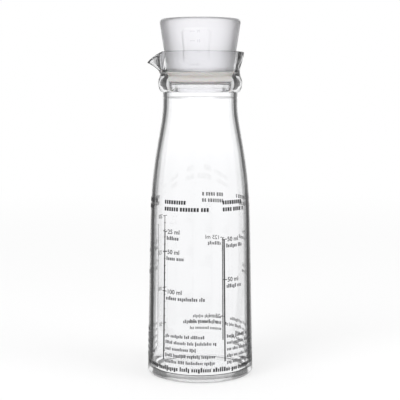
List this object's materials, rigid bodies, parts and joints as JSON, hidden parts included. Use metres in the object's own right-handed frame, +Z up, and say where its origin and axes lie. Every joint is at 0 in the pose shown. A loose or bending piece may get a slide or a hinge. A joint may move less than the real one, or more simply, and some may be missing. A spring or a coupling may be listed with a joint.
{
  "type": "pouring bottle with measuring cup stopper",
  "caption": "Clear bottle with a pouring beak, closed by a frosted measuring cup that plugs the mouth on a soft seal ring.",
  "frame": {"origin": "centre of the foot, on the surface that the bottle stands on", "axes": "+Z up along the bottle's axis, -X towards the pouring beak, -Y towards the front of the picture"},
  "size_m": [0.062, 0.062, 0.2062],
  "materials": {
    "clear_plastic": "clear polished SAN",
    "frosted_plastic": "frosted translucent",
    "silicone": "soft satin, warm off-white",
    "print": "screen printed ink"
  },
  "bodies": {
    "bottle": {"bottle": "clear_plastic"},
    "ring": {"seal_ring": "silicone"},
    "cup": {"measuring_cup": "frosted_plastic"}
  },
  "joints": [
    {"name": "cup_lift", "type": "slide", "parent": "bottle", "child": "ring", "axis": [0, 0, 1], "range_m": [0, 0.06]},
    {"name": "cup_turn", "type": "hinge", "parent": "ring", "child": "cup", "pos_m": [0, 0, 0.1726], "axis": [0, 0, 1], "continuous": true}
  ]
}
